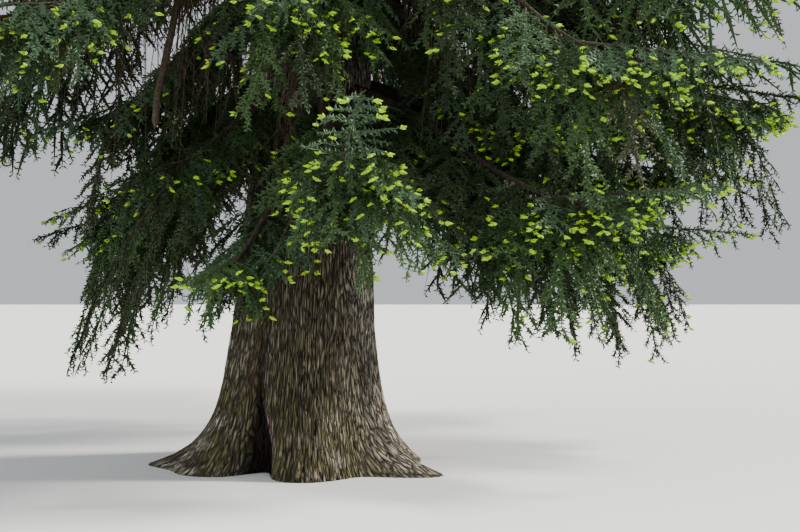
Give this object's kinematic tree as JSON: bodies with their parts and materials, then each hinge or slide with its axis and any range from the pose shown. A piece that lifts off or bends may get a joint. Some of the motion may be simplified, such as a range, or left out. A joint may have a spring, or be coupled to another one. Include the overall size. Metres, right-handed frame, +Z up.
{
  "type": "fir tree",
  "caption": "Old park fir, whole from the ground to its tip: a fluted trunk with a wide root flare, drooping lower boughs with needle sprays, and a tall cone of foliage.",
  "frame": {"origin": "middle of the flat cut under the trunk, at ground level", "axes": "+Z up along the trunk, -Y towards the picture's camera, +X to the picture's right"},
  "size_m": [10.2459, 9.9246, 24.0145],
  "materials": {
    "bark": "deeply ridged, rough grey-brown bark",
    "limb": "rough brown bark",
    "needles": "waxy dark bluish-green needles with yellow-green new shoots"
  },
  "bodies": {
    "root": {"trunk": "bark", "bough_back": "limb", "bough_back_left": "limb", "bough_front": "limb", "bough_front_low": "limb", "bough_high_back": "limb", "bough_high_back_left": "limb", "bough_high_front": "limb", "bough_high_front_left": "limb", "bough_high_front_right": "limb", "bough_high_left": "limb", "bough_high_right": "limb", "bough_high_right_back": "limb", "bough_high_right_side": "limb", "bough_left": "limb", "bough_left_front": "limb", "bough_right": "limb", "bough_right_back": "limb", "bough_right_front": "limb", "foliage_back": "needles", "foliage_back_left": "needles", "foliage_front": "needles", "foliage_front_low": "needles", "foliage_high_back": "needles", "foliage_high_back_left": "needles", "foliage_high_front": "needles", "foliage_high_front_left": "needles", "foliage_high_front_right": "needles", "foliage_high_left": "needles", "foliage_high_right": "needles", "foliage_high_right_back": "needles", "foliage_high_right_side": "needles", "foliage_left": "needles", "foliage_left_front": "needles", "foliage_right": "needles", "foliage_right_back": "needles", "foliage_right_front": "needles", "foliage_top": "needles", "foliage_upper_01": "needles", "foliage_upper_02": "needles", "foliage_upper_03": "needles", "foliage_upper_04": "needles", "foliage_upper_05": "needles", "foliage_upper_06": "needles", "foliage_upper_07": "needles", "foliage_upper_08": "needles", "foliage_upper_09": "needles", "foliage_upper_10": "needles", "foliage_upper_11": "needles", "foliage_upper_12": "needles", "foliage_upper_13": "needles", "foliage_upper_14": "needles", "foliage_upper_15": "needles", "foliage_upper_16": "needles", "foliage_upper_17": "needles", "foliage_upper_18": "needles", "foliage_upper_19": "needles", "foliage_upper_20": "needles", "foliage_upper_21": "needles", "foliage_upper_22": "needles"}
  },
  "joints": []
}
